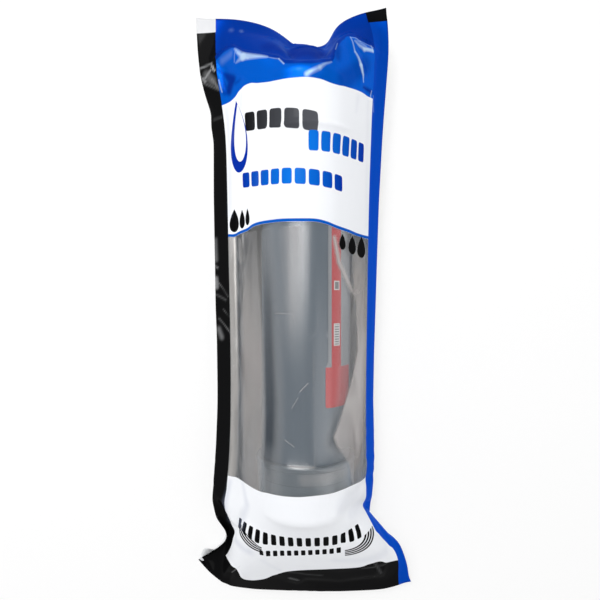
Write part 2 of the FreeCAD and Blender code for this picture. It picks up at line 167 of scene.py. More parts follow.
# Push points out of the rounded cylinder of the housing and of the thinner one of its port bosses.
def keepOffCartridge(p):
    c = cartridge
    for boss in (False, True):
        x, y, z = p[..., 0] - c["x"], p[..., 1] - c["y"], p[..., 2] - c["z"]
        rho, far = np.sqrt(x * x + z * z) + 1e-9, np.abs(y)
        if boss:
            radius, half, soft = c["boss"], c["halfLength"], c["bossRound"]
        else:
            radius = c["pipe"] + (c["cap"] - c["pipe"]) * np.clip((far - c["capFrom"]) / c["capOver"], 0, 1)
            radius = radius + c["bead"] * np.clip(c["beadFull"] - np.abs(far - c["beadAt"]) / c["beadWide"], 0, 1)
            half, soft = c["halfBody"], c["shoulder"]
        q0, q1 = rho - (radius - soft), far - (half - soft)
        m0, m1 = np.maximum(q0, 0), np.maximum(q1, 0)
        m = np.sqrt(m0 * m0 + m1 * m1)
        push = np.maximum(soft + c["clear"] - m - np.minimum(np.maximum(q0, q1), 0), 0)
        deep = m < 1e-6
        g0 = np.where(deep, q0 > q1, m0 / (m + 1e-9))
        g1 = np.where(deep, q0 <= q1, m1 / (m + 1e-9))
        p[..., 0] += push * g0 * x / rho
        p[..., 2] += push * g0 * z / rho
        p[..., 1] += push * g1 * np.sign(y)


# Draw points sideways to where they should show in the photo.
def toPixel(points, pixels, k):
    px, py = pixelOf(points)
    s = mmAt(points[..., 2])
    points[..., 0] += k * (pixels[..., 0] - px) * s
    points[..., 1] -= k * (pixels[..., 1] - py) * s


# Draw an edge of the pouch to the nearest places on its line in the photo.
def toEdge(row, line, k):
    px, py = pixelOf(row)
    near = ((px[:, None] - line[:, 0]) ** 2 + (py[:, None] - line[:, 1]) ** 2).argmin(1)
    toPixel(row, line[near], k)


# Draw an edge of the pouch up or down to its height.
def toRise(row, side, k):
    px, py = pixelOf(row)
    at, heights = pouch["rise"][side]
    row[:, 2] += k * (np.interp(px if side in ("top", "bottom") else py, at, heights) - row[:, 2])


# Both films as a plain swelling over the cartridge: a bent grid for x and y, a soft hump for z.
def looseStart(gap):
    s = pouch["start"]
    nx, ny = int(round(pouch["width"] / gap)) + 1, int(round(pouch["length"] / gap)) + 1
    t = np.linspace(0, 1, nx)[None, :] * np.ones((ny, 1))
    w = np.linspace(0, 1, ny)[:, None] * np.ones((1, nx))
    left, right, middle = (s[name][0] + w * (s[name][1] - s[name][0]) for name in ("left", "right", "middle"))
    y = left * (1 - t) ** 2 + right * t ** 2 + 2 * t * (1 - t) * (2 * middle - (left + right) / 2)
    x = (t - .5) * pouch["width"] * np.interp(w, *s["wide"]) + np.interp(w, *s["lean"])
    inside = np.clip(np.minimum((y - s["foot"][0]) / s["foot"][1], (s["head"][0] - y) / s["head"][1]), 0, 1)
    inside = inside * inside * (3 - 2 * inside)
    hump = np.clip(1 - ((x - cartridge["x"]) / s["half"]) ** 2, 0, 1) ** s["power"] * inside
    base = np.interp(w, *s["base"])
    front = np.stack([x, y, base + (s["top"] - base) * hump], -1)
    back = np.stack([x, y, base - (base - s["under"]) * np.clip(hump * s["backRate"], 0, 1)], -1)
    return np.stack([front, back])


# The same surface on a grid of another spacing, by cubic interpolation along both ways.
def finer(p, gap):
    for axis, size in ((2, pouch["width"]), (1, pouch["length"])):
        m, n = p.shape[axis], int(round(size / gap)) + 1
        t = np.linspace(0, m - 1, n)
        i = np.clip(t.astype(int), 0, m - 2)
        shape = [1] * p.ndim
        shape[axis] = n
        f = (t - i).reshape(shape)
        a, b = np.take(p, np.clip(i - 1, 0, m - 1), axis), np.take(p, i, axis)
        c, d = np.take(p, i + 1, axis), np.take(p, np.clip(i + 2, 0, m - 1), axis)
        p = 0.5 * (2 * b + (c - a) * f + (2 * a - 5 * b + 4 * c - d) * f ** 2 + (3 * b - a - 3 * c + d) * f ** 3)
    return p


# Let the two films find their rest: lengths kept, sealed at the edges, over the cartridge, edges where they lie.
def settle(p, stage):
    ny, nx = p.shape[1:3]
    u, v = np.linspace(0, pouch["width"], nx), np.linspace(0, pouch["length"], ny)
    sealed = np.zeros((ny, nx), bool)
    sealed[:, (u <= pouch["leftSeal"]) | (u >= pouch["width"] - pouch["rightSeal"])] = True
    sealed[(v <= pouch["bottomSeal"]) | (v >= pouch["length"] - pouch["topSeal"])] = True
    inner = sealed.copy()
    inner[0] = inner[-1] = False
    across = (u[1] * np.interp(v / v[-1], *pouch["acrossShare"]))[None, :, None, None]
    drawn = np.outer(np.interp(np.linspace(0, 1, ny - 1), *pouch["alongShare"]),
                     np.interp(u / u[-1], *pouch["alongSide"]))
    along = (v[1] * (1 + drawn))[None, :, :, None]
    slant = np.sqrt(((along[:, :, 1:] + along[:, :, :-1]) / 2) ** 2 + ((across[:, 1:] + across[:, :-1]) / 2) ** 2)
    lines = {side: evenly(points) for side, points in pouch["edge"].items()}
    before = p.copy()
    for step in range(stage["steps"]):
        move = np.clip((p - before) * pouch["carry"], -pouch["fastest"], pouch["fastest"])
        before = p.copy()
        out = upward(p)
        p = p + move
        p[0] += out[0] * stage["air"]
        p[1] -= out[1] * stage["air"]
        p[..., 2] -= stage["weight"]
        for r in range(stage["rounds"]):
            keepLengths(p, across, along, slant, stage["bend"])
            p[:, sealed] = p[:, sealed].mean(0)
        ironed = p[0].copy()
        ironed[1:-1] = (p[0][2:] + p[0][:-2]) / 2
        p[0][inner] += stage["stiff"] * (ironed - p[0])[inner]
        edges = {"left": p[0, :, 0], "right": p[0, :, -1], "bottom": p[0, 0], "top": p[0, -1]}
        for side, row in edges.items():
            toRise(row, side, pouch["riseRate"])
            toEdge(row, lines[side], stage["pull"])
        for (i, j), pixel in pouch["corners"]:
            toPixel(p[0, i, j], np.array(pixel), pouch["cornerRate"])
        p[1][sealed] = p[0][sealed]
        up = out[0] + out[1]
        up /= np.sqrt((up * up).sum(-1, keepdims=True)) + 1e-9
        short = np.maximum(pouch["apart"] - ((p[0] - p[1]) * up).sum(-1), 0)
        short = np.where(sealed, 0, short)[..., None]
        p[0] += up * short / 2
        p[1] -= up * short / 2
        keepOffCartridge(p)
        p[..., 2] = np.maximum(p[..., 2], pouch["lowest"])
    return p


# Even out the weave's own fine ripple, and more of it along the top seal, then free the cartridge again.
def calm(p):
    c = pouch["calm"]
    top = np.clip((np.linspace(0, pouch["length"], p.shape[1]) - c["from"]) / c["over"], 0, 1)[None, :, None, None]
    for k in range(c["rounds"]):
        share = 1.0 if k < c["allOver"] else top
        p[:, :, 1:-1] += share * ((p[:, :, :-2] + p[:, :, 2:]) / 4 - p[:, :, 1:-1] / 2)
        if k < c["allOver"]:
            p[:, 1:-1] += (p[:, :-2] + p[:, 2:]) / 4 - p[:, 1:-1] / 2
    keepOffCartridge(p)


# Creases as lines in the photo. Each rises by its height beside the line: it falls off over the first length to the
# right of the line's direction and over the second to its left, in millimetres.
creases = [
    ([(213, 62), (220, 56), (228, 50), (234, 48.5), (243, 53), (256, 55.5), (270, 57), (278, 58.5), (285, 63),
      (300, 64), (318, 63.5), (331, 62), (335, 52), (338, 44), (344, 39), (351, 37), (360, 40), (372, 47)],
     1.7, 9, 1.3),
    ([(351, 37), (354, 50), (359, 62), (363, 72), (364, 82)], 1.2, 3.5, 2),
    ([(331, 62), (322, 68), (313, 73), (305, 76)], 0.9, 3, 2.5),
    ([(234, 49), (237, 56), (235, 63)], 0.8, 2.5, 2.5),
    ([(214, 62), (218, 75), (222, 88), (226, 96)], 0.7, 2, 1.5),
    ([(351, 38), (356, 44), (362, 50), (370, 51), (374, 50)], 0.9, 1.5, 3),
    ([(215, 63), (225, 70), (240, 80), (245, 85)], -0.8, 4, 3),
    ([(364, 87), (369, 95), (372, 89)], -0.9, 2, 2),
    ([(229, 515), (238, 524), (247, 531), (256, 539), (263, 549), (269, 558)], 1.0, 1.3, 6),
    ([(333, 524), (334, 516), (338, 506), (348, 494)], 0.7, 5, 4),
    ([(362, 521), (354, 527), (346, 537), (338, 548)], -0.8, 3, 3),
    ([(237, 565), (231, 574), (226, 585)], -1.2, 2, 2),
    ([(284, 577), (298, 580), (306, 576), (340, 578), (380, 573)], 0.7, 2, 3),
    ([(373, 565), (381, 573), (385, 562)], 0.7, 2, 2),
    ([(224, 566), (232, 569), (238, 566)], 0.6, 2, 2),
    ([(244, 500), (241, 508), (240, 516)], 0.5, 3, 4),
]
creaseForm = {"joinOver": 4.0, "blunt": 0.5, "bluntBack": 0.7, "power": 1.3, "fadeOver": 4.0, "least": 0.25}


# Raise the front film beside each crease, and the back film with it where both are sealed.
def addCreases(p):
    c, nx, ny = creaseForm, p.shape[2], p.shape[1]
    u, v = np.linspace(0, pouch["width"], nx)[None, :], np.linspace(0, pouch["length"], ny)[:, None]
    inside = np.minimum(np.minimum(u - pouch["leftSeal"], pouch["width"] - pouch["rightSeal"] - u),
                        np.minimum(v - pouch["bottomSeal"], pouch["length"] - pouch["topSeal"] - v))
    joined = np.clip(1 - inside / c["joinOver"], 0, 1)
    px, py = pixelOf(p[0])
    mm = mmAt(p[0][..., 2])
    rise = np.zeros((ny, nx))
    for line, height, right, left in creases:
        near, side = np.full((ny, nx), 1e9), np.zeros((ny, nx))
        for (x, y), (x1, y1) in zip(line[:-1], line[1:]):
            dx, dy = x1 - x, y1 - y
            share = np.clip(((px - x) * dx + (py - y) * dy) / (dx * dx + dy * dy), 0, 1)
            d = np.hypot(px - x - share * dx, py - y - share * dy)
            turn = dx * (py - y) - dy * (px - x)
            side = np.where(d < near, turn, side)
            near = np.minimum(near, d)
        off = near * mm
        reach = np.where(side > 0, right, left)
        slope = np.clip(1 - (np.sqrt(off * off + c["blunt"]) - c["bluntBack"]) / reach, 0, 1)
        ends = np.hypot(px - line[0][0], py - line[0][1]), np.hypot(px - line[-1][0], py - line[-1][1])
        fade = np.clip(np.minimum(*ends) * mm / np.maximum(reach, c["fadeOver"]), c["least"], 1)
        rise += height * slope ** c["power"] * fade
    out = upward(p[0]) * rise[..., None]
    p[0] += out
    p[1] += out * np.where(rise < 0, 1, joined)[..., None]
    keepOffCartridge(p)


turnedCorner = {"at": 8.5, "reach": 9.0, "out": 1.0, "up": 3.6, "down": 0.3, "columns": (1.0, 0.75, 0.5, 0.25)}


# The back film's lower left edge reaches past the front's, so that its pale side shows: most at one height, none a
# reach from there, and less from column to column of its grid.
def foldCorner(p):
    c = turnedCorner
    share = np.clip(1 - np.abs(np.linspace(0, pouch["length"], p.shape[1]) - c["at"]) / c["reach"], 0, 1)
    share = share * share * (3 - 2 * share)
    for column, part in enumerate(c["columns"]):
        p[1, :, column, 0] -= c["out"] * share * part
        p[1, :, column, 1] += c["up"] * share * part
        p[1, :, column, 2] -= c["down"] * share


# Front and back film after all stages, coarse to fine.
def settledFilms():
    stages = pouch["stages"]
    p = looseStart(stages[0]["gap"])
    for k, stage in enumerate(stages):
        if k:
            p = finer(p, stage["gap"])
        p = settle(p, stage)
        print("film settled at", stage["gap"], "mm")
    calm(p)
    return p


# A closed thin film from one grid: the grid, the same grid one wall away, and the strip between their rims. Its uv is
# the place on the flat film, in metres.
def filmObject(name, sheet, side, material):
    ny, nx = sheet.shape[:2]
    out = upward(sheet) * side
    inside = sheet + out * pouch["skin"]
    outside = sheet + out * (pouch["skin"] + pouch["wall"])
    u, v = np.meshgrid(np.linspace(0, pouch["width"], nx), np.linspace(0, pouch["length"], ny))
    flat = np.stack([u.ravel(), v.ravel()], 1) * 0.001
    verts = np.concatenate([outside.reshape(-1, 3), inside.reshape(-1, 3)]) + [shift["x"], shift["y"], 0]
    grid = np.arange(ny * nx).reshape(ny, nx)
    quad = np.stack([grid[:-1, :-1], grid[:-1, 1:], grid[1:, 1:], grid[1:, :-1]], -1).reshape(-1, 4)
    rim = np.concatenate([grid[0, :-1], grid[:-1, -1], grid[-1, :0:-1], grid[:0:-1, 0]])
    ring = np.roll(rim, -1)
    band = np.stack([rim, rim + ny * nx, ring + ny * nx, ring], -1)
    faces = np.concatenate([quad, quad[:, ::-1] + ny * nx, band])
    if side < 0:
        faces = faces[:, ::-1]
    mesh = bpy.data.meshes.new(name)
    mesh.from_pydata((verts * 0.001).tolist(), [], faces.tolist())
    mesh.validate()
    corner = np.empty(len(mesh.loops), np.int32)
    mesh.loops.foreach_get("vertex_index", corner)
    mesh.uv_layers.new(name="flat").data.foreach_set("uv", np.concatenate([flat, flat])[corner].ravel())
    mesh.polygons.foreach_set("use_smooth", np.full(len(mesh.polygons), True))
    mesh.materials.append(material)
    obj = bpy.data.objects.new(name, mesh)
    bpy.context.collection.objects.link(obj)
    return obj


# A value over a surface, which is one output of a shader node. Arithmetic on it adds Math nodes to its tree.
class Field:
    def __init__(self, socket):
        self.socket, self.tree = socket, socket.id_data

    def math(self, operation, b=None, c=None, clamp=False):
        return newField(self.tree, "Math", {0: self, 1: b, 2: c}, operation=operation, use_clamp=clamp)

    def __add__(self, b):
        return self.math("ADD", b)

    def __sub__(self, b):
        return self.math("SUBTRACT", b)

    def __rsub__(self, a):
        return newField(self.tree, "Math", {0: a, 1: self}, operation="SUBTRACT")

    def __mul__(self, b):
        return self.math("MULTIPLY", b)

    def __truediv__(self, b):
        return self.math("DIVIDE", b)

    def __pow__(self, b):
        return self.math("POWER", b)

    def __abs__(self):
        return self.math("ABSOLUTE")


# A node with its settings, and its inputs given as numbers or fields.
def newNode(tree, kind, sockets=None, **settings):
    node = tree.nodes.new("ShaderNode" + kind)
    for key, value in settings.items():
        setattr(node, key, value)
    for key, value in (sockets or {}).items():
        if isinstance(value, Field):
            tree.links.new(value.socket, node.inputs[key])
        elif value is not None:
            node.inputs[key].default_value = value
    return node


# One output of a new node.
def newField(tree, kind, sockets=None, out=0, **settings):
    return Field(newNode(tree, kind, sockets, **settings).outputs[out])


# Fields fed to a shader's inputs.
def feed(shader, fields):
    for name, value in fields.items():
        value.tree.links.new(value.socket, shader.inputs[name])


# The largest of some fields.
def largest(first, *more):
    for value in more:
        first = first.math("MAXIMUM", value)
    return first


# Colour a where share is 0 and colour b where it is 1.
def blend(share, a, b):
    return newField(share.tree, "Mix", {0: share, 6: a, 7: b}, 2, data_type="RGBA", clamp_factor=True)


# 1 where x is over level, 0 under it, with a soft step.
def above(x, level, soft):
    return (x - level).math("MULTIPLY_ADD", 1 / soft, 0.5, clamp=True)


# 1 where x is under level.
def below(x, level, soft):
    return (level - x).math("MULTIPLY_ADD", 1 / soft, 0.5, clamp=True)


# 1 where x lies from low to high.
def between(x, low, high, soft):
    return above(x, low, soft) * below(x, high, soft)


# Height of a drawn line over x, given by its points, as a curve between low and high.
def lineOver(x, low, high, points):
    start, end = points[0][0], points[-1][0]
    share = newField(x.tree, "MapRange", {0: x, 1: start, 2: end, 3: 0.0, 4: 1.0})
    node = newNode(x.tree, "FloatCurve", {1: share})
    curve = node.mapping.curves[0]
    spots = [((p - start) / (end - start), (q - low) / (high - low)) for p, q in points]
    curve.points[0].location, curve.points[1].location = spots[0], spots[-1]
    for spot in spots[1:-1]:
        curve.points.new(*spot)
    node.mapping.update()
    return Field(node.outputs[0]).math("MULTIPLY_ADD", high - low, low)


# Noise over place, which stretch draws out one way.
def noise(place, stretch=None, **sockets):
    if stretch is not None:
        place = newField(place.tree, "VectorMath", {0: place, 1: stretch}, operation="MULTIPLY")
    return newField(place.tree, "TexNoise", {"Vector": place, **sockets})


# A bump that feeds a shader's Normal.
def addBump(shader, strength, distance, height, under=None):
    sockets = {"Strength": strength, "Distance": distance, "Height": height, "Normal": under}
    feed(shader, {"Normal": newField(height.tree, "Bump", sockets)})


# A screen colour, 0 to 255, as Blender's linear colour.
def rgb(r, g, b):
    parts = [c / 255 for c in (r, g, b)]
    return tuple(c / 12.92 if c <= 0.04045 else ((c + 0.055) / 1.055) ** 2.4 for c in parts) + (1.0,)


# A material with one Principled shader and its plain values.
def newMaterial(name, sockets):
    material = bpy.data.materials.new(name)
    material.use_nodes = True
    tree = material.node_tree
    shader = tree.nodes["Principled BSDF"]
    for key, value in sockets.items():
        shader.inputs[key].default_value = value
    return material, tree, shader


# A node group whose inputs and outputs are named in one string each, and whose outputs build works out.
def newGroup(name, takes, gives, build):
    group = bpy.data.node_groups.new(name, "ShaderNodeTree")
    for side, labels in (("INPUT", takes), ("OUTPUT", gives)):
        for label in labels.split():
            label, kind = (label + ":Float").split(":")[:2]
            group.interface.new_socket(label, in_out=side, socket_type="NodeSocket" + kind)
    inputs = group.nodes.new("NodeGroupInput").outputs[:len(takes.split())]
    results = build(*(Field(socket) for socket in inputs))
    feed(group.nodes.new("NodeGroupOutput"), dict(zip(gives.split(), results)))
    return group


# A node group placed in the tree of its first value, with its inputs in their order.
def placeGroup(group, *values):
    node = newNode(values[0].tree, "Group", dict(enumerate(values)), node_tree=group)
    return [Field(socket) for socket in node.outputs]


shapes = {  # of the plain printed shapes
    "blockPower": 6.0, "blockRim": 3.0, "dropWidth": 2.6, "dropThin": 0.13, "dropSoft": 0.25, "arcFlat": 0.55,
    "arcRate": 0.66, "arcStart": -4.95, "arcLine": 0.33, "arcCount": 4.0, "arcTop": -1.5, "arcSoft": 0.3,
    "lineSoft": 0.2, "ringSoft": 0.1, "rowSoft": 0.002,
}
fineMarks = {  # crinkles in the film, scratches on the pipe
    "ridge": {"Detail": 3.0, "Roughness": 0.55}, "where": {"Scale": 22.0, "Detail": 1.0},
    "whereRange": {1: 0.42, 2: 0.68, 3: 0.15, 4: 1.0},  # low and high noise, and what they stand for
    "scratchStretch": (1.0, 0.04, 0.1), "scratchWide": 0.002, "scratchSoft": 0.003,
    "broken": {"Scale": 60.0, "Detail": 2.0}, "brokenSoft": 0.08,
}


# A row of plain rounded blocks: a high power of both distances from a block's middle adds up to less than 1.
def blockRow(u, v, start, end, level, levelEnd, half, count, fill):
    share = (u - start) / (end - start)
    high = (v - share.math("MULTIPLY_ADD", levelEnd - level, level)) / half
    wide = ((share * count).math("FRACT") - 0.5) * 2.0 / fill
    total = abs(high) ** shapes["blockPower"] + abs(wide) ** shapes["blockPower"]
    ink = (1.0 - total).math("MULTIPLY_ADD", shapes["blockRim"], 0.5, clamp=True)
    return ink * between(share, 0.0, 1.0, shapes["rowSoft"]), share


# A plain drop: at share t of its height it is as wide as a number times the root of t times (1 - t).
def plainDrop(u, v, middle, foot, height, half):
    t = (v - foot).math("DIVIDE", height, clamp=True)
    wide = t.math("SQRT") * (1.0 - t) * shapes["dropWidth"] * half
    return [below(abs(u - middle), wide - shapes["dropThin"], shapes["dropSoft"])]


# A straight stroke between two places, with its own half width at each end and a soft rim: the half width less the
# distance to the middle line, over the rim.
def softStroke(u, v, fromU, fromV, fromWide, toU, toV, toWide, soft, most):
    wayU, wayV, offU, offV = toU - fromU, toV - fromV, u - fromU, v - fromV
    share = (wayU * offU + wayV * offV).math("DIVIDE", wayU * wayU + wayV * wayV, clamp=True)
    farU, farV = offU - share * wayU, offV - share * wayV
    far = (farU * farU + farV * farV).math("SQRT")
    wide = fromWide + share * (toWide - fromWide)
    return [((wide - far) / soft).math("ADD", 0.5, clamp=True) * most]


# A few thin lines side by side: rings round one middle, flattened along u, below the middle only.
def thinArcs(u, v, middleU, middleV, start, end):
    s = shapes
    across, up = (u - middleU) * s["arcFlat"], v - middleV
    rings = (across * across + up * up).math("SQRT").math("MULTIPLY_ADD", s["arcRate"], s["arcStart"])
    line = below(abs(rings.math("FRACT") - 0.5), s["arcLine"], s["lineSoft"])
    sector = between(u, start, end, s["arcSoft"]) * below(up, s["arcTop"], s["arcSoft"])
    return [line * (between(rings, 0.0, s["arcCount"], s["ringSoft"]) * sector)]


# Height of fine film crinkles: stretched noise folded into ridges, on a broad noise that says where they are.
def filmCrinkles(place, scale, stretch):
    ridge = abs(noise(place, stretch, Scale=scale, **fineMarks["ridge"]) - 0.5)
    broad = noise(place, **fineMarks["where"])
    return [ridge * newField(place.tree, "MapRange", {0: broad, **fineMarks["whereRange"]})]


# Thin scratches: very stretched noise kept only where it crosses its middle, broken up by a second noise.
def thinScratches(place, turn, scale, amount):
    f = fineMarks
    turned = newField(place.tree, "VectorRotate", {"Vector": place, "Angle": turn}, rotation_type="Z_AXIS")
    off = abs(noise(turned, f["scratchStretch"], Scale=scale, Detail=0.0) - 0.5)
    broken = above(noise(place, **f["broken"]), 1.0 - amount, f["brokenSoft"])
    return [below(off, f["scratchWide"], f["scratchSoft"]) * broken]


blocks = newGroup("plainBlocks", "u v from to level levelEnd half count fill", "ink share", blockRow)
drop = newGroup("plainDrop", "u v middle foot height half", "ink", plainDrop)
stroke = newGroup("stroke", "u v fromU fromV fromWide toU toV toWide soft most", "mask", softStroke)
arcs = newGroup("thinArcs", "u v middleU middleV from to", "ink", thinArcs)
crinkles = newGroup("crinkles", "place:Vector scale stretch:Vector", "height", filmCrinkles)
scratches = newGroup("scratches", "place:Vector turn scale amount", "mask", thinScratches)

paintedLightAndShade = {  # painted light and shade as strokes: (u, v, half width) at both ends, soft rim, strength
    # painted shade in the folds of the blue top
    "darkShade": [(12.5, 319.2, 0.3, 21.2, 310.7, 3, 3, 0.85), (21.2, 310.7, 3, 17.8, 305.5, 2.4, 3.2, 0.85),
        (14.5, 314, 0.5, 15.5, 305.5, 2, 2.5, 0.7), (24.2, 308, 1, 27.5, 308.7, 0.5, 3, 0.5),
        (110, 302.5, 0.6, 118.5, 302.3, 1.1, 1.6, 0.9), (92.8, 300.8, 5, 112, 315.9, 4, 6, 0.4),
        (46.8, 325.9, 4, 62.8, 321.7, 6, 6, 0.5), (62.8, 321.7, 6, 83.5, 319.2, 6, 6, 0.7),
        (95, 337.8, 2.5, 88.5, 312.7, 2.5, 4, 0.5), (126, 339.3, 0.5, 125.2, 322.2, 0.5, 3, 0.15)],
    # painted highlights on the blue top
    "pale": [(105.5, 327.6, 0.4, 111.5, 325.2, 1.1, 1.4, 0.42), (15.8, 323.4, 1.5, 24, 324.1, 1.5, 3.5, 0.16),
        (21.2, 342, 0.8, 22, 341.3, 0.6, 3.5, 0.16), (27.5, 341.5, 0.6, 28.2, 340.5, 0.5, 2.5, 0.25)],
    # painted reflections in the window, and painted highlights on the black strips
    "reflectionAndScratches": [(86.5, 216.3, 1, 90, 203.6, 1.3, 2.4, 0.5), (90, 203.6, 1.3, 101, 189.4, 1.6, 2.6, 0.5),
        (101, 189.4, 1.6, 108.5, 183.2, 1, 3, 0.35), (73.5, 167.8, 0.2, 75, 98.2, 0.2, 1.6, 0.08),
        (61.5, 98.4, 0.3, 74.5, 98.2, 0.3, 1.6, 0.25), (69.8, 92.2, 3, 94.2, 93.2, 3, 5, 0.1),
        (21.2, 218.7, 1.2, 22, 205.8, 1.2, 2, 0.16), (0.2, 322.9, 0.5, 8.2, 324.1, 0.4, 1.2, 0.4),
        (8.2, 322.7, 0.5, 9.8, 319.2, 0.4, 1, 0.85), (7.2, 320.4, 0.5, 2.2, 316.7, 0.6, 1.3, 0.55),
        (0, 317.9, 0.5, 2.5, 314.9, 0.5, 1.2, 0.55), (7, 315.4, 0.7, 11, 308.5, 0.3, 2.4, 0.42),
        (0.5, 314.9, 0.2, 10.2, 308.7, 0.2, 2, 0.3), (4, 318.4, 2.2, 7.5, 314.2, 2.2, 3.5, 0.2),
        (0.8, 220.7, 0.8, 0.8, 208.6, 1.2, 3, 0.26), (0, 204.8, 0.4, 2, 203.6, 0.4, 1.6, 0.36),
        (0.5, 196.9, 1.5, 0.8, 191.9, 1.5, 2.2, 0.4), (0.5, 196.4, 0.15, 10.8, 185.4, 0.1, 0.8, 0.42),
        (0, 187.4, 0.3, 8.2, 183.7, 0.3, 2, 0.16), (2, 172.5, 0.2, 11, 164.1, 0.1, 0.9, 0.42),
        (5.5, 178.2, 0.1, 12, 172.8, 0.1, 0.8, 0.22), (1.8, 165.6, 1.4, 4, 160.8, 1.4, 3.5, 0.28),
        (2.8, 292.8, 0.3, 10, 292.6, 0.3, 2.5, 0.1), (59.8, 14.4, 0.5, 64.5, 11.9, 0.3, 2, 0.22),
        (109.5, 27.1, 0.4, 113.2, 16.7, 0.3, 2.5, 0.12), (101.8, 24.4, 0.3, 118.2, 22.9, 0.3, 1.8, 0.1),
        (58.8, 21.1, 0.2, 78.5, 17.6, 0.2, 2.5, 0.08)],
    # painted shade on the white print
    "shade": [(25.2, 75.6, 1, 31, 65.6, 2, 4, 0.7), (31, 65.6, 2, 27.5, 50.7, 3, 5, 0.65),
        (24.2, 37.5, 2, 36.8, 37.5, 2, 5, 0.75), (91.5, 75.8, 5, 108, 75.8, 4, 5, 0.3),
        (99.2, 68.1, 4, 114.8, 68.1, 4, 5, 0.35), (86, 35, 2, 117, 31.6, 3, 5, 0.35),
        (13.5, 72.3, 1, 9.8, 38.3, 2, 5, 1), (44, 33.3, 1, 54.2, 23.4, 1, 4, 0.3),
        (28.8, 303.8, 0.6, 26.5, 293.1, 1.2, 2.6, 0.5), (25.8, 293.3, 1.2, 13.5, 272.4, 1.5, 4, 0.45),
        (14.5, 295.6, 1, 13, 234.4, 1, 5, 0.8), (105.2, 295.6, 1.5, 103.8, 286.9, 0.5, 4, 0.35),
        (115.2, 296.8, 1, 116.8, 226.2, 0.8, 4, 0.3), (35.5, 236.9, 2, 42.2, 265.7, 1, 8, 0.15)],
}

reflectionAndShadeVeils = [  # painted reflections of the room in the clear film, and painted shade: (v, u) down each side, strength by v, soft rims
    {"left": [(82.3, 101.8), (91.5, 99.5), (100.9, 94), (106.1, 89), (111.6, 86.8), (117.3, 90.5), (129.3, 96.8),
        (141.9, 103.5), (155.1, 108.5), (166.3, 108.2), (183.2, 106.2), (190.9, 103.5), (204.3, 102), (217.5, 102.8)],
     "right": [(75.8, 118.2), (109.1, 114.8), (154.1, 119.5), (191.2, 118), (217.8, 117.2)],
     "most": [(85, 0.1), (99.4, 0.26), (109.9, 0.42), (128.8, 0.54), (154.9, 0.5), (171.8, 0.48), (188.9, 0.3),
         (204.6, 0.16), (218.2, 0)],
     "soft": (2.2, 12), "dims": False},
    {"left": [(77.6, 24), (124.5, 21.8), (159.8, 21.8), (205.8, 23)],
     "right": [(84, 41.5), (91, 42.2), (118.1, 42.8), (139.5, 42), (167, 40.8), (189.2, 38.8), (208.3, 37)],
     "most": [(82, 0.12), (126.3, 0.18), (186.4, 0.16), (205.3, 0.07), (217.8, 0.05)],
     "soft": (6, 2.2), "dims": False},
    {"left": [(151.9, 57.2), (183.4, 56.8), (215.3, 56.2)],
     "right": [(152.4, 65.5), (183.4, 67.5), (214.8, 68.8)],
     "most": [(145.9, 0), (160.1, 0.04), (183.4, 0.12), (217, 0.14)],
     "soft": (8, 10), "dims": False},
    {"left": [(86.3, 44), (128.8, 43.2), (183.4, 41.8), (216.8, 40.5)],
     "right": [(89.5, 53.2), (130.5, 54), (183.4, 51.2), (216, 49)],
     "most": [(87.5, 0.12), (108.1, 0.2), (183.4, 0.17), (218.5, 0.1)],
     "soft": (2.5, 9), "dims": True},
    {"left": [(97.4, 88.5), (108.4, 81.8), (118.1, 85), (130.5, 89.8), (156.6, 92), (183.4, 91.8)],
     "right": [(95.2, 96.5), (111.9, 86.2), (117.6, 89.2), (129.5, 96), (155.4, 106.8), (183.2, 106.2)],
     "most": [(98.4, 0), (112.1, 0.16), (129.5, 0.1), (178, 0.05), (185.4, 0)],
     "soft": (6, 1.5), "dims": True},
]

veilFrom, veilTo = 74.0, 222.0

